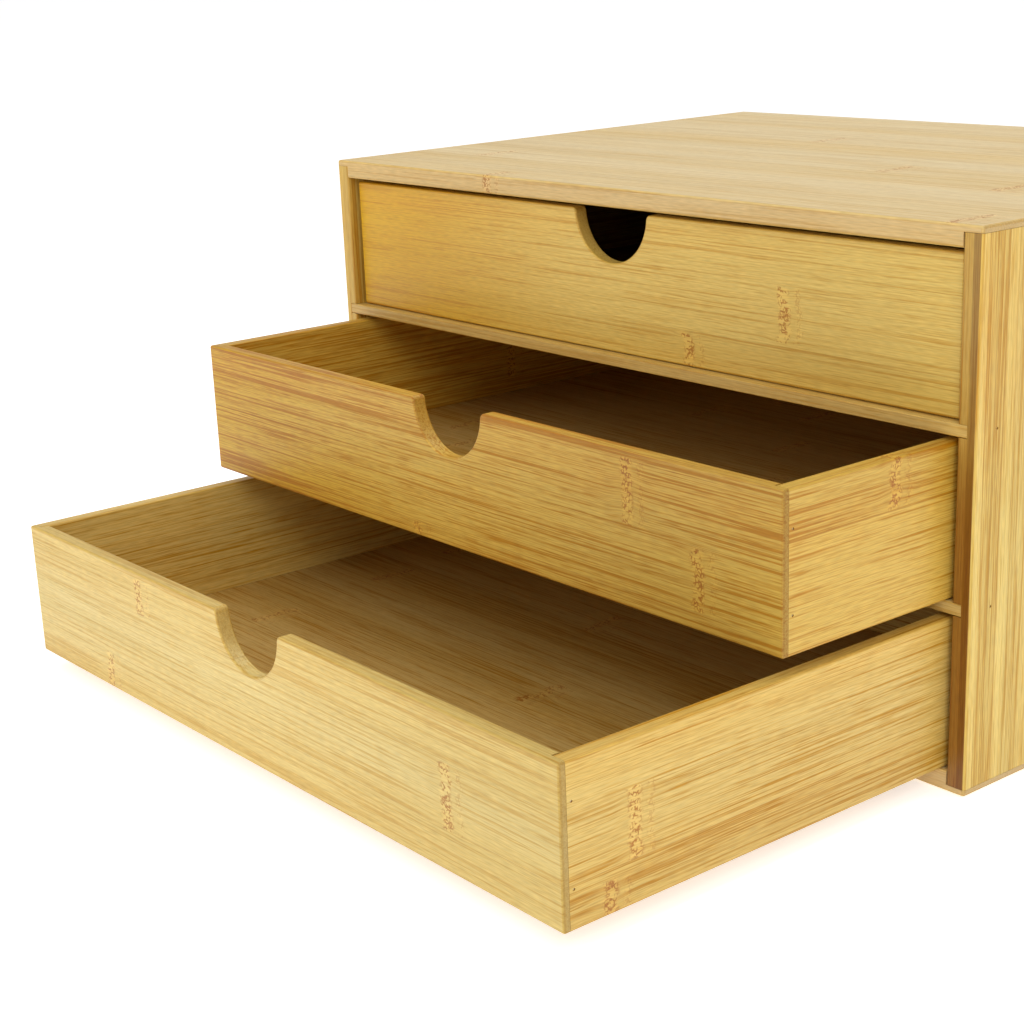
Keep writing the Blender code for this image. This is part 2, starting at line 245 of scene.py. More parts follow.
# Where the strips of each board start, metres across the grain
FRONT_OFFSETS = {"top": 0.0125, "middle": 0.0055, "bottom": 0.0140}
SIDE_OFFSETS = {"top": 0.012, "middle": 0.0135, "bottom": 0.0140}
CASE_SIDE_OFFSETS = {"left": 0.0063, "right": 0.0084}
BACK_OFFSET, FLOOR_OFFSET = 0.006, 0.004

# Steel of the pins
STEEL_COLOR, TARNISH_COLOR = (0.66, 0.55, 0.40), (0.40, 0.30, 0.18)
STEEL_ROUGHNESS, TARNISH_ROUGH = 0.28, 0.3
TARNISH, RINGS = (900, 900, 900), (6000, 500, 500)

# Studio: soft lights by name, place, target, size and power
LIGHTS = (
    ("key_light", (1.6, -1.3, 1.5), (0, -0.1, 0.08), 1.1, 16.8),
    ("front_light", (-1.0, -2.0, 0.9), (0, -0.1, 0.05), 1.2, 9.8),
    ("top_light", (0.1, 0.3, 1.9), (0, 0, 0.1), 1.4, 16.0),
)
WORLD_FADE = (0.05, 0.22, 1.0, 0.50)    # heights between which the world fades, and strengths
FLOOR_GAP = 0.0002                      # the studio floor lies this far below the case
FLOOR_RADIUS, FLOOR_SIDES = 30.0, 64
FLOOR_COLOR, FLOOR_GLOW = (0.86, 0.86, 0.86), 0.56

# Camera, fitted to the photo's perspective with a small lens shift
CAMERA_PLACE = (0.5124, -0.5740, 0.2629)
CAMERA_TURN = (1.2603, 0.0402, 0.8906)
CAMERA_SENSOR, CAMERA_LENS = 36.0, 67.56
CAMERA_SHIFT = (0.0068, 0.0469)
CAMERA_NEAR = 0.01

DRAWERS = ("top", "middle", "bottom")


# ---------------------------------------------------------------- mesh work


def new_box(low, high):
    """Return a bmesh holding one closed box."""
    data = bmesh.new()
    size = Vector(high) - Vector(low)
    middle = (Vector(high) + Vector(low)) / 2
    transform = Matrix.Translation(middle) @ Matrix.Diagonal((*size, 1.0))
    bmesh.ops.create_cube(data, size=1.0, matrix=transform)
    return data


def faces_of_edge(edge, low, high):
    """Return the box faces, such as '-y', that an edge of the box lies on."""
    sides = set()
    for index, axis in enumerate("xyz"):
        values = [vertex.co[index] for vertex in edge.verts]
        if max(values) - min(values) < SAME:
            middle = (low[index] + high[index]) / 2
            sides.add(("-" if values[0] < middle else "+") + axis)
    return sides


def ease(data, edges, radius):
    """Round the given edges."""
    bmesh.ops.bevel(
        data,
        geom=edges,
        offset=radius,
        segments=EDGE_SEGMENTS,
        profile=0.5,
        affect="EDGES",
        clamp_overlap=True,
    )


def to_object(name, data):
    """Link a bmesh as an object at the origin."""
    bmesh.ops.recalc_face_normals(data, faces=data.faces)
    mesh = bpy.data.meshes.new(name)
    data.to_mesh(mesh)
    data.free()
    obj = bpy.data.objects.new(name, mesh)
    bpy.context.scene.collection.objects.link(obj)
    return obj


def apply_modifiers(obj):
    """Replace an object's mesh by its evaluated one."""
    bpy.context.view_layer.update()
    evaluated = obj.evaluated_get(bpy.context.evaluated_depsgraph_get())
    result = bpy.data.meshes.new_from_object(evaluated)
    obj.modifiers.clear()
    obj.data = result


def cut(obj, data):
    """Subtract a closed bmesh from an object."""
    cutter = to_object("cutter", data)
    modifier = obj.modifiers.new("cut", "BOOLEAN")
    modifier.operation = "DIFFERENCE"
    modifier.solver = "EXACT"
    modifier.object = cutter
    apply_modifiers(obj)
    bpy.data.objects.remove(cutter, do_unlink=True)


def span(first, second):
    """Return two numbers in rising order."""
    return (first, second) if first < second else (second, first)


def cut_span(obj, x, y, z):
    """Subtract the box between three pairs of coordinates."""
    x, y, z = span(*x), span(*y), span(*z)
    cut(obj, new_box((x[0], y[0], z[0]), (x[1], y[1], z[1])))


def drill(obj, pin):
    """Bore the small hole that a pin's head lies in."""
    low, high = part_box(pin)
    middle = (low + high) / 2
    board_low = Vector(obj.bound_box[0])
    board_high = Vector(obj.bound_box[6])
    outer = board_high.x if middle.x > 0 else board_low.x
    data = bmesh.new()
    place = Matrix.Translation(Vector((outer, middle.y, middle.z)))
    bmesh.ops.create_cone(
        data,
        cap_ends=True,
        segments=HOLE_SIDES,
        radius1=HOLE_RADIUS,
        radius2=HOLE_RADIUS,
        depth=2 * HOLE_DEPTH,
        matrix=place @ Matrix.Rotation(math.pi / 2, 4, "Y"),
    )
    cut(obj, data)


def plank(name, low, high, radius, crisp=()):
    """Make a board with eased edges, except those on its crisp faces."""
    data = new_box(low, high)
    edges = []
    for edge in data.edges:
        if not faces_of_edge(edge, low, high) & set(crisp):
            edges.append(edge)
    ease(data, edges, radius)
    return to_object(name, data)


def arc(centre, radius, start, end, segments):
    """Return points along an arc, as (x, z), from one angle to another."""
    points = []
    for step in range(segments + 1):
        angle = start + (end - start) * step / segments
        points.append(
            (centre[0] + radius * math.cos(angle), centre[1] + radius * math.sin(angle))
        )
    return points


def notched_plank(name, low, high):
    """Make a drawer front with the half-round notch in the middle of its top edge."""
    reach = NOTCH_RADIUS + NOTCH_SHOULDER
    shoulder_x = math.sqrt(reach**2 - NOTCH_SHOULDER**2)
    tilt = math.asin(NOTCH_SHOULDER / reach)
    quarter = math.pi / 2
    top = high.z
    right = (shoulder_x, top - NOTCH_SHOULDER)
    left = (-shoulder_x, top - NOTCH_SHOULDER)
    outline = [(low.x, low.z), (high.x, low.z), (high.x, top)]
    outline += arc(right, NOTCH_SHOULDER, quarter, math.pi - tilt, SHOULDER_SEGMENTS)
    outline += arc((0.0, top), NOTCH_RADIUS, -tilt, tilt - math.pi, NOTCH_SEGMENTS)[1:-1]
    outline += arc(left, NOTCH_SHOULDER, tilt, quarter, SHOULDER_SEGMENTS)
    outline.append((low.x, top))
    data = bmesh.new()
    face = data.faces.new([data.verts.new((x, low.y, z)) for x, z in outline])
    grown = bmesh.ops.extrude_face_region(data, geom=[face])["geom"]
    moved = [item for item in grown if isinstance(item, bmesh.types.BMVert)]
    bmesh.ops.translate(data, verts=moved, vec=(0, high.y - low.y, 0))
    bmesh.ops.recalc_face_normals(data, faces=data.faces)
    edges = []
    for edge in data.edges:
        across = abs(edge.verts[0].co.y - edge.verts[1].co.y) > SAME
        if not across or edge.calc_face_angle() > CORNER_ANGLE:
            edges.append(edge)
    ease(data, edges, DRAWER_EDGE)
    return to_object(name, data)


def mark_faces(mesh, along):
    """Mark the faces of the eased edges and those that cut across the grain."""
    eased = mesh.attributes.new("eased", "FLOAT", "FACE")
    ends = mesh.attributes.new("end_grain", "FLOAT", "FACE")
    for face in mesh.polygons:
        corners = [mesh.vertices[index].co for index in face.vertices]
        pairs = zip(corners, corners[1:] + corners[:1])
        longest = max((first - second).length for first, second in pairs)
        tilted = max(abs(value) for value in face.normal) < ALIGNED
        if tilted and face.area / longest < EASED_WIDTH:
            eased.data[face.index].value = 1.0
        turned = (abs(face.normal.dot(along)) - END_GRAIN_FROM) / END_GRAIN_RANGE
        ends.data[face.index].value = min(1.0, max(0.0, turned))


def finish_board(obj, node, material, grain, origin):
    """Clean and shade a board's mesh, mark its grain and hand it to the frame.

    grain is the board's (along, across, through) directions, and origin the point where the
    three coordinates are zero.
    """
    data = bmesh.new()
    data.from_mesh(obj.data)
    bmesh.ops.remove_doubles(data, verts=data.verts, dist=MERGE)
    bmesh.ops.dissolve_limit(data, angle_limit=FLAT_ANGLE, verts=data.verts, edges=data.edges)
    data.to_mesh(obj.data)
    data.free()
    obj.data.shade_smooth()
    obj.data.set_sharp_from_angle(angle=SHARP_ANGLE)
    weighted = obj.modifiers.new("weighted", "WEIGHTED_NORMAL")
    weighted.keep_sharp = True
    weighted.weight = NORMAL_WEIGHT
    apply_modifiers(obj)
    mesh = obj.data
    attribute = mesh.attributes.new("grain", "FLOAT_VECTOR", "POINT")
    values = []
    for vertex in mesh.vertices:
        offset = vertex.co - origin
        values.extend(offset.dot(direction) for direction in grain)
    attribute.data.foreach_set("vector", values)
    mark_faces(mesh, grain[0])
    mesh.materials.clear()
    mesh.materials.append(material)
    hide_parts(node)
    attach(obj, frame["nodes"][node]["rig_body"])


# ---------------------------------------------------------------- materials


class Shader:
    """Small helper that builds a node tree."""

    def __init__(self, name):
        self.material = bpy.data.materials.new(name)
        self.material.use_nodes = True
        self.tree = self.material.node_tree
        self.principled = self.tree.nodes["Principled BSDF"]

    def node(self, kind, **settings):
        """Add a node with the given settings."""
        made = self.tree.nodes.new(kind)
        for key, value in settings.items():
            setattr(made, key, value)
        return made

    def link(self, value, socket):
        """Plug a socket, or set a constant."""
        if isinstance(value, bpy.types.NodeSocket):
            self.tree.links.new(value, socket)
        else:
            socket.default_value = value

    def set(self, **values):
        """Set constants on the shader's own sockets, such as Coat_Weight."""
        for name, value in values.items():
            self.principled.inputs[name.replace("_", " ")].default_value = value

    def attribute(self, name, output="Fac"):
        """Return one of the mesh's attributes."""
        return self.node("ShaderNodeAttribute", attribute_name=name).outputs[output]

    def math(self, operation, first, second=0.0, third=0.0, clamp=False):
        """Return a math node's value."""
        made = self.node("ShaderNodeMath", operation=operation, use_clamp=clamp)
        for value, socket in zip((first, second, third), made.inputs):
            self.link(value, socket)
        return made.outputs[0]

    def vector(self, operation, first, second):
        """Return a vector math node's vector."""
        made = self.node("ShaderNodeVectorMath", operation=operation)
        self.link(first, made.inputs[0])
        self.link(second, made.inputs[1])
        return made.outputs["Vector"]

    def combine(self, x, y, z):
        """Return a vector made of three values."""
        made = self.node("ShaderNodeCombineXYZ")
        for value, socket in zip((x, y, z), made.inputs):
            self.link(value, socket)
        return made.outputs[0]

    def noise(self, vector, stretch, detail=1.0, roughness=0.5):
        """Return a noise value whose features per metre along each axis are in stretch."""
        made = self.node("ShaderNodeTexNoise")
        self.link(self.vector("MULTIPLY", vector, stretch), made.inputs["Vector"])
        made.inputs["Scale"].default_value = 1.0
        made.inputs["Detail"].default_value = detail
        made.inputs["Roughness"].default_value = roughness
        return made.outputs["Fac"]

    def white(self, vector):
        """Return a random value for each vector."""
        made = self.node("ShaderNodeTexWhiteNoise", noise_dimensions="3D")
        self.link(vector, made.inputs["Vector"])
        return made.outputs["Value"]

    def smooth(self, value, low, high, start=0.0, end=1.0):
        """Return a smooth step from start at low to end at high."""
        made = self.node("ShaderNodeMapRange", interpolation_type="SMOOTHSTEP")
        self.link(value, made.inputs["Value"])
        for name, number in (
            ("From Min", low),
            ("From Max", high),
            ("To Min", start),
            ("To Max", end),
        ):
            self.link(number, made.inputs[name])
        return made.outputs[0]

    def tint(self, factor, color, tint):
        """Return a colour multiplied by a tint, as far as factor says."""
        return self.mix(factor, color, tint, "MULTIPLY")

    def mix(self, factor, first, second, blend="MIX"):
        """Return two colours mixed."""
        made = self.node("ShaderNodeMix", data_type="RGBA", blend_type=blend)
        self.link(factor, made.inputs["Factor"])
        for value, socket in ((first, made.inputs[6]), (second, made.inputs[7])):
            self.link((*value, 1.0) if isinstance(value, tuple) else value, socket)
        return made.outputs[2]

    def bump(self, height, distance):
        """Give the surface fine relief."""
        made = self.node("ShaderNodeBump")
        made.inputs["Strength"].default_value = BUMP
        made.inputs["Distance"].default_value = distance
        self.link(height, made.inputs["Height"])
        self.link(made.outputs[0], self.principled.inputs["Normal"])


def knuckle_masks(s, along, across, wander, knuckles):
    """Return masks of the knuckles' narrow bands and of the wide zones round them."""
    wandered = s.math("MULTIPLY_ADD", wander, WANDER, along)
    band, zone = 0.0, 0.0
    for place, low, high in knuckles:
        away = s.math("SUBTRACT", wandered, place)
        distance = s.math("ABSOLUTE", away)
        twin = s.math("ABSOLUTE", s.math("SUBTRACT", away, TWIN_PLACE))
        inside = s.math(
            "MULTIPLY",
            s.smooth(across, low, low + KNUCKLE_MARGIN),
            s.smooth(across, high - KNUCKLE_MARGIN, high, 1.0, 0.0),
        )
        core = s.smooth(distance, *CORE, 1.0, 0.0)
        second = s.smooth(twin, *TWIN, TWIN_STRENGTH, 0.0)
        narrow = s.math("MULTIPLY", s.math("MAXIMUM", core, second), inside)
        wide = s.math("MULTIPLY", s.smooth(distance, *ZONE, 1.0, 0.0), inside)
        band = s.math("MAXIMUM", band, narrow)
        zone = s.math("MAXIMUM", zone, wide)
    return band, zone


def strips(s, across, seed, strip, offset):
    """Return a random tone for each strip, and a mask of the glue lines between strips."""
    row = s.math("DIVIDE", s.math("SUBTRACT", across, offset), strip)
    index = s.math("FLOOR", row)
    tone = s.white(s.combine(index, seed * 0.618, seed * 1.3))
    edge = s.math("ABSOLUTE", s.math("SUBTRACT", s.math("FRACT", row), 0.5))
    glue = s.smooth(edge, 0.5 - GLUE_LINE / strip, 0.5)
    return s.math("SUBTRACT", tone, 0.5), glue


def fibre_marks(s, grain, bundle, crowd):
    """Return how dark the fibres are: bundles, hairlines between them, and short dashes."""
    hair = s.noise(grain, HAIRS)
    dash = s.noise(grain, DASHES, 0.0)
    level = s.math("SUBTRACT", BUNDLE_FROM, crowd)
    dark = s.smooth(bundle, level, s.math("ADD", level, BUNDLE_RANGE))
    thin = s.smooth(hair, *HAIR_RAMP)
    short = s.smooth(dash, *DASH_RAMP)
    marks = s.math("MULTIPLY_ADD", short, DASH_MARK, s.math("MULTIPLY", thin, HAIR_MARK))
    return s.math("MULTIPLY_ADD", dark, BUNDLE_MARK, marks, clamp=True)


def color_plies(s, color, along, through, plies):
    """Tint the layers of a board, each from its depth on; the tints towards the foot are partly
    painted shade.
    """
    layers = NO_TINT
    # how near the foot: there the layers take tints that are partly painted shade
    foot = s.smooth(along, *FOOT_SHADE_RAMP)
    for depth, top_tint, foot_tone_and_shade in plies:
        layer = s.smooth(through, depth - GLUE_LINE, depth + GLUE_LINE)
        layers = s.mix(layer, layers, s.mix(foot, top_tint, foot_tone_and_shade))
    return s.tint(1.0, color, layers)


def color_knuckles(s, color, straight, band, zone):
    """Draw the knuckles: chains of dark curls with pale wood between them."""
    warp = s.math("MULTIPLY", s.noise(straight, KNUCKLE_WARP), WARP)
    place = s.vector("ADD", straight, s.combine(warp, 0, 0))
    cells = s.node("ShaderNodeTexVoronoi", feature="DISTANCE_TO_EDGE")
    s.link(s.vector("MULTIPLY", place, KNUCKLE_CELLS), cells.inputs["Vector"])
    cells.inputs["Scale"].default_value = 1.0
    curl = s.smooth(cells.outputs["Distance"], *CURL_RAMP, 1.0, 0.0)
    broken = s.smooth(s.noise(straight, KNUCKLE_BREAKS), *BREAK_RAMP)
    curl = s.math("MULTIPLY", s.math("MULTIPLY", curl, broken), band)
    color = s.tint(band, color, BAND_TINT)
    color = s.tint(s.math("MULTIPLY", zone, ZONE_TONE), color, ZONE_TINT)
    return s.tint(s.math("MULTIPLY", curl, CURL), color, CURL_TINT)


def lacquer(s, broad, ends, marks):
    """Give a satin gloss, a little duller in the fibres and on end grain."""
    gloss = s.math("MULTIPLY_ADD", broad, BROAD_ROUGH, ROUGHNESS)
    gloss = s.math("MULTIPLY_ADD", ends, END_ROUGH, gloss)
    gloss = s.math("MULTIPLY_ADD", marks, FIBRE_ROUGH, gloss)
    s.link(gloss, s.principled.inputs["Roughness"])
    s.set(Coat_Weight=COAT, Coat_Roughness=COAT_ROUGHNESS, Specular_IOR_Level=SPECULAR)


def bamboo(
    name,
    seed,
    tone,
    lines=1.0,
    strip=STRIP,
    offset=0.0,
    knuckles=(),
    plies=(),
    vary=0.1,
    end_tone_and_light_tints=(),
):
    """Return lacquered bamboo with its strips, fibres, knuckles and dotted end grain.

    tone is the colour between the fibres, lines the strength of the fibres and vary the spread
    of the strips' tones. Each knuckle is its place along the grain and the two edges of its
    strip. plies colour the layers of the board: the depth where each begins, and its tints at
    the top and at the foot, the foot's tints being partly painted shade. The last argument
    gives the tints that the board takes on towards its left and its right end, partly its own
    tone and partly painted light and shade.
    """
    s = Shader(name)
    grain = s.attribute("grain", "Vector")
    eased = s.attribute("eased")
    ends = s.attribute("end_grain")
    parts = s.node("ShaderNodeSeparateXYZ")
    s.link(grain, parts.inputs[0])
    along, across, through = parts.outputs
    shift = (seed * 1.37 + 3.1, seed * 0.73 + 1.7, seed * 0.51 + 0.3)
    straight = s.vector("ADD", grain, shift)

    band, zone, bent = 0.0, 0.0, straight
    if knuckles:
        wander = s.math("SUBTRACT", s.noise(straight, KNUCKLE_WANDER), 0.5)
        band, zone = knuckle_masks(s, along, across, wander, knuckles)
        bend = s.math("MULTIPLY", s.math("MULTIPLY", wander, zone), BEND)
        bent = s.vector("ADD", s.combine(along, s.math("ADD", across, bend), through), shift)

    bundle = s.noise(bent, BUNDLES)
    fleck = s.noise(bent, FLECKS, 0.0)
    broad = s.noise(bent, BROAD_TONE, 2.0)
    slow = s.noise(bent, SLOW_TONE)
    strip_tone, glue = strips(s, across, seed, strip, offset)

    crowd = s.math("MULTIPLY_ADD", broad, BROAD_CROWD, s.math("MULTIPLY", slow, SLOW_CROWD))
    crowd = s.math("MULTIPLY_ADD", strip_tone, vary, crowd)
    marks = fibre_marks(s, bent, bundle, crowd)
    marks = s.math("MULTIPLY", marks, s.math("MULTIPLY_ADD", zone, -ZONE_FADE * lines, lines))
    marks = s.math("MULTIPLY", marks, s.math("MULTIPLY_ADD", ends, -END_FADE, 1.0))

    shade = s.math("MULTIPLY_ADD", s.math("SUBTRACT", broad, 0.5), BROAD_SHADE, 1.0)
    shade = s.math("MULTIPLY_ADD", s.math("SUBTRACT", fleck, 0.5), FLECK_SHADE, shade)
    shade = s.math("MULTIPLY_ADD", strip_tone, -vary, shade)
    color = s.vector("MULTIPLY", tone, s.combine(shade, shade, shade))
    warm = s.smooth(s.math("MULTIPLY_ADD", strip_tone, STRIP_WARMTH, slow), *WARM_RAMP)
    color = s.tint(s.math("MULTIPLY", warm, WARM), color, WARM_TINT)
    color = s.tint(marks, color, FIBRE_TINT)
    color = s.tint(s.math("MULTIPLY", glue, GLUE), color, GLUE_TINT)
    if plies:
        color = color_plies(s, color, along, through, plies)
    # tints towards the board's ends: partly the wood's own tone, partly painted light and shade
    for end, tint in zip(TINTED_ENDS, end_tone_and_light_tints):
        color = s.tint(s.smooth(along, 0.0, end), color, tint)
    # end grain darkens: partly its own tone, partly painted shade
    color = s.tint(ends, color, END_GRAIN_AND_SHADE_TINT)
    color = s.tint(eased, color, EASED_TINT)
    if knuckles:
        color = color_knuckles(s, color, straight, band, zone)
    s.link(color, s.principled.inputs["Base Color"])

    lacquer(s, broad, ends, marks)
    grooves = s.math("MULTIPLY_ADD", s.smooth(bundle, *GROOVE_RAMP), GROOVE, glue)
    s.bump(s.math("SUBTRACT", 1.0, grooves), BUMP_HEIGHT)
    return s.material


def steel(name):
    """Return drawn steel for the pins, with fine rings and a little tarnish."""
    s = Shader(name)
    place = s.node("ShaderNodeTexCoord").outputs["Object"]
    tarnish = s.noise(place, TARNISH, 3.0, 0.6)
    s.link(s.mix(tarnish, STEEL_COLOR, TARNISH_COLOR), s.principled.inputs["Base Color"])
    dull = s.math("MULTIPLY_ADD", tarnish, TARNISH_ROUGH, STEEL_ROUGHNESS)
    s.link(dull, s.principled.inputs["Roughness"])
    s.set(Metallic=1.0)
    s.bump(s.noise(place, RINGS), PIN_BUMP_HEIGHT)
    return s.material


def random_knuckles(seed, length, width, offset=0.0, kept=1.0):
    """Return knuckles spread over a board's strips, about one internode apart."""
    draw = random.Random(seed)
    knuckles = []
    low = offset
    while low > 0:
        low -= STRIP
    while low < width:
        place = -length / 2 + draw.uniform(0.02, INTERNODE)
        while place < length / 2:
            if draw.random() < kept:
                edges = (max(low, -STRIP_OVERLAP), min(low + STRIP, width + STRIP_OVERLAP))
                knuckles.append((place, *edges))
            place += INTERNODE * draw.uniform(0.85, 1.2)
        low += STRIP
    return tuple(knuckles)


# ---------------------------------------------------------------- the boards


def build_caps():
    """Build the top and bottom panels, which lap over the side panels."""
    top_low, top_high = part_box("top_panel")
    low_low, low_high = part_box("bottom_panel")
    right_low, right_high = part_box("right_side_panel")
    back_low, back_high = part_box("back_panel")
    beyond = top_high.x + OVERSHOOT
    y_all = (top_low.y - OVERSHOOT, top_high.y + OVERSHOOT)
    back_seat = back_low.y - SEAM
    # seed, node, box, height where the tongue ends, height past the inner face, back panel's edge
    for seed, node, low, high, tongue, into, back_edge in (
        (1, "top_panel", top_low, top_high, right_high.z + CAD_GAP, top_low.z - OVERSHOOT,
         back_high.z + SEAM),
        (2, "bottom_panel", low_low, low_high, right_low.z - CAD_GAP, low_high.z + OVERSHOOT,
         back_low.z - SEAM),
    ):
        piece = plank(node + "_board", low, high, CASE_EDGE)
        for side in (-1, 1):
            x = (side * (right_low.x - SEAM), side * beyond)
            cut_span(piece, x, y_all, (tongue, into))
        cut_span(piece, (-beyond, beyond), (back_seat, y_all[1]), (back_edge, into))
        length, width = high.x - low.x, high.y - low.y
        material = bamboo(
            node + "_bamboo",
            seed,
            CAP_TONE_AND_SHEEN,
            lines=CAP_FIBRES,
            vary=CAP_VARIETY,
            knuckles=EDGE_KNUCKLES + random_knuckles(seed, length, width, kept=CAP_KNUCKLES_KEPT),
        )
        finish_board(piece, node, material, (X, Y, Z), Vector((0, low.y, low.z)))


def build_case_sides():
    """Build the side panels with their dadoes, rear rabbets and pin holes."""
    back_low, back_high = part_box("back_panel")
    back_seat = back_low.y - SEAM
    dividers = [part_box("lower_divider"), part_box("upper_divider")]
    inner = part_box("right_side_panel")[0].x
    for seed, side, side_name in ((3, -1, "left"), (4, 1, "right")):
        node = side_name + "_side_panel"
        low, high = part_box(node)
        low.z -= GROW
        high.z += GROW
        piece = plank(node + "_board", low, high, CASE_EDGE, crisp=("-z", "+z"))
        inside = side * (inner - OVERSHOOT)
        for divider_low, divider_high in dividers:
            x = (inside, side * (divider_high.x + SEAM))
            z = (divider_low.z - SEAM, divider_high.z + SEAM)
            cut_span(piece, x, (low.y - OVERSHOOT, back_seat), z)
        x = (inside, side * (back_high.x + SEAM))
        z = (back_low.z - SEAM, back_high.z + SEAM)
        cut_span(piece, x, (back_seat, high.y + OVERSHOOT), z)
        for divider in ("lower", "upper"):
            for place in ("front", "rear"):
                drill(piece, f"{divider}_divider_{side_name}_{place}_pin")
        material = bamboo(
            node + "_bamboo",
            seed,
            SIDE_TONE,
            lines=CASE_SIDE_FIBRES,
            strip=THIN_STRIP,
            offset=CASE_SIDE_OFFSETS[side_name],
            plies=SIDE_PLIES[side_name],
            vary=CASE_SIDE_VARIETY,
        )
        origin = Vector((side * inner, low.y, (low.z + high.z) / 2))
        finish_board(piece, node, material, (Z, Y, side * X), origin)


def build_case():
    """Build the finished boards of the case."""
    build_caps()
    build_case_sides()
    top_low, top_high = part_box("top_panel")
    case_width, case_depth = top_high.x - top_low.x, top_high.y - top_low.y
    for seed, node in ((5, "lower_divider"), (6, "upper_divider")):
        low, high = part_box(node)
        high.y += GROW
        piece = plank(node + "_board", low, high, THIN_EDGE, crisp=("-x", "+x", "+y"))
        material = bamboo(
            node + "_bamboo",
            seed,
            DIVIDER_TONE,
            lines=DIVIDER_FIBRES,
            knuckles=random_knuckles(seed, case_width, case_depth, kept=DIVIDER_KNUCKLES_KEPT),
        )
        finish_board(piece, node, material, (X, Y, Z), Vector((0, top_low.y, low.z)))

    low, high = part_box("back_panel")
    piece = plank("back_panel_board", low, high, THIN_EDGE)
    material = bamboo(
        "back_panel_bamboo",
        7,
        INNER_TONE_AND_SHADE,
        offset=BACK_OFFSET,
        knuckles=random_knuckles(7, case_width, high.z - low.z, offset=BACK_OFFSET),
    )
    finish_board(piece, "back_panel", material, (X, Z, Y), Vector((0, low.y, low.z)))


def build_drawer_ends(drawer, seed):
    """Build a drawer's front and back, which lap over its sides."""
    prefix = drawer + "_drawer_"
    front_low, front_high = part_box(prefix + "front")
    back_low, back_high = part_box(prefix + "back")
    right_low, right_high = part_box(prefix + "right_side")
    floor_low, floor_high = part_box(prefix + "floor")
    shoulder = right_low.x - SEAM
    beyond = front_high.x + OVERSHOOT
    z_all = (front_low.z - OVERSHOOT, front_high.z + OVERSHOOT)
    z_groove = (floor_low.z - SEAM, floor_high.z + SEAM)
    length, height = 2 * front_high.x, front_high.z - front_low.z

    front = notched_plank(prefix + "front_board", front_low, front_high)
    back = plank(prefix + "back_board", back_low, back_high, DRAWER_EDGE)
    # board, name, seed, grain through it, outer face, past its inner face, tongue, groove,
    # tone, fibres, knuckles
    for piece, end, number, through, outer, past_inner, tongue, groove, tone, lines, knuckles in (
        (front, "front", seed + 1, Y, front_low.y, front_high.y + OVERSHOOT,
         right_low.y - CAD_GAP, floor_low.y - SEAM,
         FRONT_TONES[drawer], FRONT_FIBRES[drawer], FRONT_KNUCKLES[drawer]),
        (back, "back", seed + 2, -Y, back_high.y, back_low.y - OVERSHOOT,
         right_high.y + CAD_GAP, floor_high.y + SEAM,
         WALL_TONES[drawer], WALL_FIBRES[drawer], random_knuckles(seed + 1, length, height)),
    ):
        for side in (-1, 1):
            cut_span(piece, (side * shoulder, side * beyond), (tongue, past_inner), z_all)
        cut_span(piece, (-beyond, beyond), (groove, past_inner), z_groove)
        material = bamboo(
            prefix + end + "_bamboo",
            number,
            tone,
            lines=lines,
            end_tone_and_light_tints=END_TONE_AND_LIGHT_TINTS[drawer],
            offset=FRONT_OFFSETS[drawer],
            knuckles=knuckles,
        )
        origin = Vector((0, outer, front_low.z))
        finish_board(piece, prefix + end, material, (X, Z, through), origin)


def build_drawer_sides(drawer, seed):
    """Build a drawer's sides, with their grooves and pin holes."""
    prefix = drawer + "_drawer_"
    front_low, front_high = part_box(prefix + "front")
    right_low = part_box(prefix + "right_side")[0]
    floor_low, floor_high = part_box(prefix + "floor")
    for side, side_name in ((-1, "left"), (1, "right")):
        node = prefix + side_name + "_side"
        low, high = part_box(node)
        low.y -= GROW
        high.y += GROW
        piece = plank(node + "_board", low, high, DRAWER_EDGE, crisp=("-y", "+y"))
        x_groove = (side * (right_low.x - OVERSHOOT), side * (floor_high.x + SEAM))
        y_groove = (low.y - OVERSHOOT, high.y + OVERSHOOT)
        cut_span(piece, x_groove, y_groove, (floor_low.z - SEAM, floor_high.z + SEAM))
        for end in ("front", "back"):
            for height in ("lower", "upper"):
                drill(piece, f"{prefix}{end}_{side_name}_{height}_pin")
        knuckles = SIDE_KNUCKLES[drawer]
        if side < 0:
            knuckles = [knuckle for knuckle in knuckles if knuckle[0] > PLAIN_LEFT]
        material = bamboo(
            node + "_bamboo",
            seed + 4 + side,
            WALL_TONES[drawer],
            lines=WALL_FIBRES[drawer],
            offset=SIDE_OFFSETS[drawer],
            knuckles=knuckles,
        )
        origin = Vector((side * front_high.x, front_low.y, front_low.z))
        finish_board(piece, node, material, (Y, Z, -side * X), origin)


def build_drawer(drawer, seed):
    """Build the finished boards of one drawer."""
    build_drawer_ends(drawer, seed)
    build_drawer_sides(drawer, seed)
    node = drawer + "_drawer_floor"
    low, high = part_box(node)
    piece = plank(node + "_board", low, high, THIN_EDGE)
    material = bamboo(
        node + "_bamboo",
        seed + 7,
        INNER_TONE_AND_SHADE,
        offset=FLOOR_OFFSET,
        knuckles=random_knuckles(seed + 7, 2 * high.x, high.y - low.y),
    )
    finish_board(piece, node, material, (X, Y, Z), Vector((0, low.y, low.z)))


# ---------------------------------------------------------------- the studio


def area_light(name, location, target, size, power):
    """Add a square area light aimed at a point."""
    lamp = bpy.data.lights.new(name, "AREA")
    lamp.shape = "SQUARE"
    lamp.size = size
    lamp.energy = power
    obj = bpy.data.objects.new(name, lamp)
    bpy.context.scene.collection.objects.link(obj)
    obj.location = location
    aim = Vector(target) - Vector(location)
    obj.rotation_euler = aim.to_track_quat("-Z", "Y").to_euler()


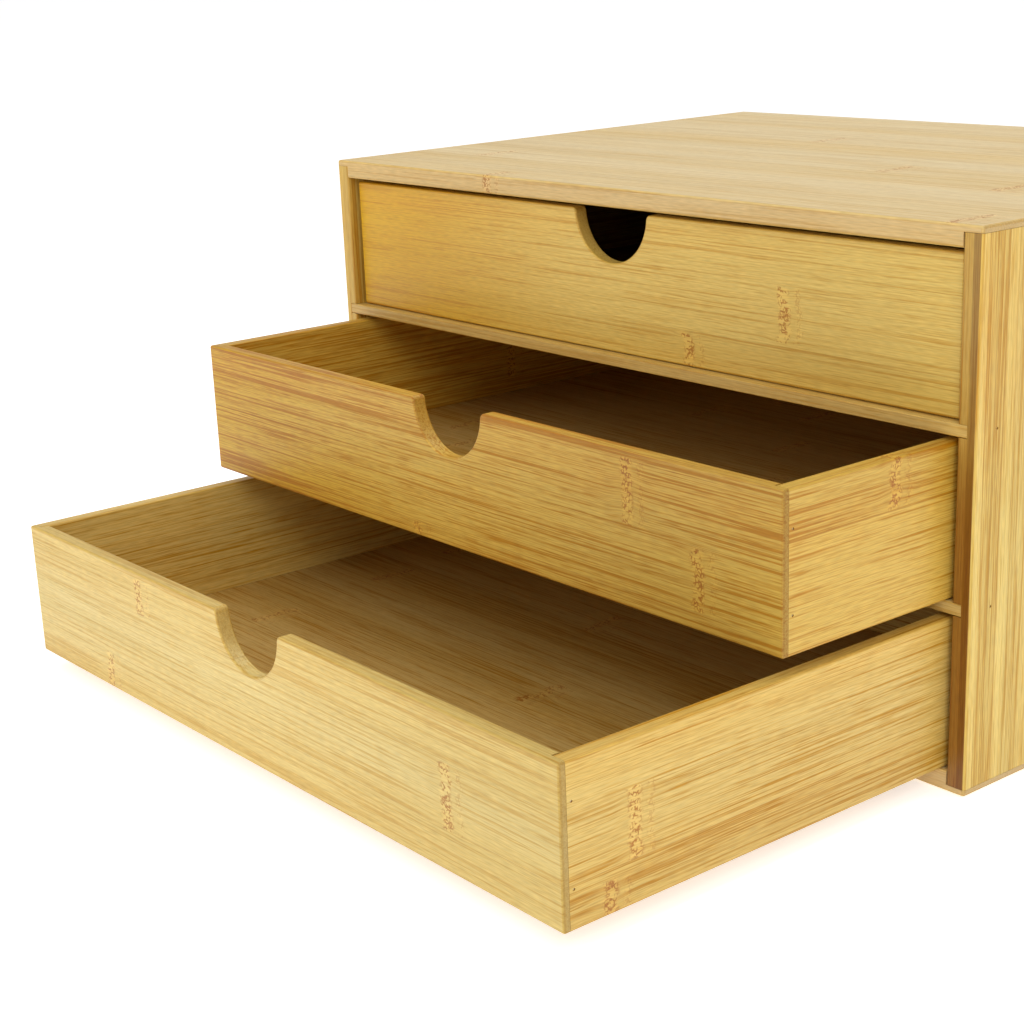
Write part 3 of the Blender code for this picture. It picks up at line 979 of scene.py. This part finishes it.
def build_floor():
    """Add the white floor, which is clear from below so that the underside can be seen."""
    data = bmesh.new()
    bmesh.ops.create_circle(data, cap_ends=True, segments=FLOOR_SIDES, radius=FLOOR_RADIUS)
    floor = to_object("studio_floor", data)
    floor.location.z = cad_box[0].z - FLOOR_GAP
    s = Shader("studio_floor_white")
    s.set(
        Base_Color=(*FLOOR_COLOR, 1.0),
        Roughness=0.9,
        Specular_IOR_Level=0.1,
        Emission_Color=(1, 1, 1, 1),
        Emission_Strength=FLOOR_GLOW,
    )
    see_through = s.node("ShaderNodeMixShader")
    backfacing = s.node("ShaderNodeNewGeometry").outputs["Backfacing"]
    s.link(backfacing, see_through.inputs[0])
    s.link(s.principled.outputs[0], see_through.inputs[1])
    s.link(s.node("ShaderNodeBsdfTransparent").outputs[0], see_through.inputs[2])
    s.link(see_through.outputs[0], s.tree.nodes["Material Output"].inputs["Surface"])
    floor.data.materials.append(s.material)


def build_world():
    """Add a white world that is brightest near and below the horizon."""
    world = bpy.data.worlds.new("studio_world")
    bpy.context.scene.world = world
    world.use_nodes = True
    tree = world.node_tree
    background = tree.nodes["Background"]
    background.inputs["Color"].default_value = (1, 1, 1, 1)
    direction = tree.nodes.new("ShaderNodeSeparateXYZ")
    place = tree.nodes.new("ShaderNodeTexCoord")
    tree.links.new(place.outputs["Generated"], direction.inputs[0])
    fade = tree.nodes.new("ShaderNodeMapRange")
    fade.interpolation_type = "SMOOTHSTEP"
    tree.links.new(direction.outputs["Z"], fade.inputs["Value"])
    for name, value in zip(("From Min", "From Max", "To Min", "To Max"), WORLD_FADE):
        fade.inputs[name].default_value = value
    tree.links.new(fade.outputs[0], background.inputs["Strength"])


def build_camera():
    """Add the camera at the photo's viewing angle."""
    data = bpy.data.cameras.new("camera")
    camera = bpy.data.objects.new("camera", data)
    bpy.context.scene.collection.objects.link(camera)
    camera.location = CAMERA_PLACE
    camera.rotation_euler = Euler(CAMERA_TURN, "XYZ")
    data.sensor_width = CAMERA_SENSOR
    data.lens = CAMERA_LENS
    data.shift_x, data.shift_y = CAMERA_SHIFT
    data.clip_start = CAMERA_NEAR
    bpy.context.scene.camera = camera


build_case()
for number, drawer in enumerate(DRAWERS, start=1):
    build_drawer(drawer, 10 * number)

pin_steel = steel("pin_steel")
for node_name, node_object in frame["nodes"].items():
    if node_name.endswith("_pin"):
        node_object.data.materials.clear()
        node_object.data.materials.append(pin_steel)

build_floor()
build_world()
for light in LIGHTS:
    area_light(*light)
build_camera()
bpy.context.scene.view_settings.view_transform = "Standard"
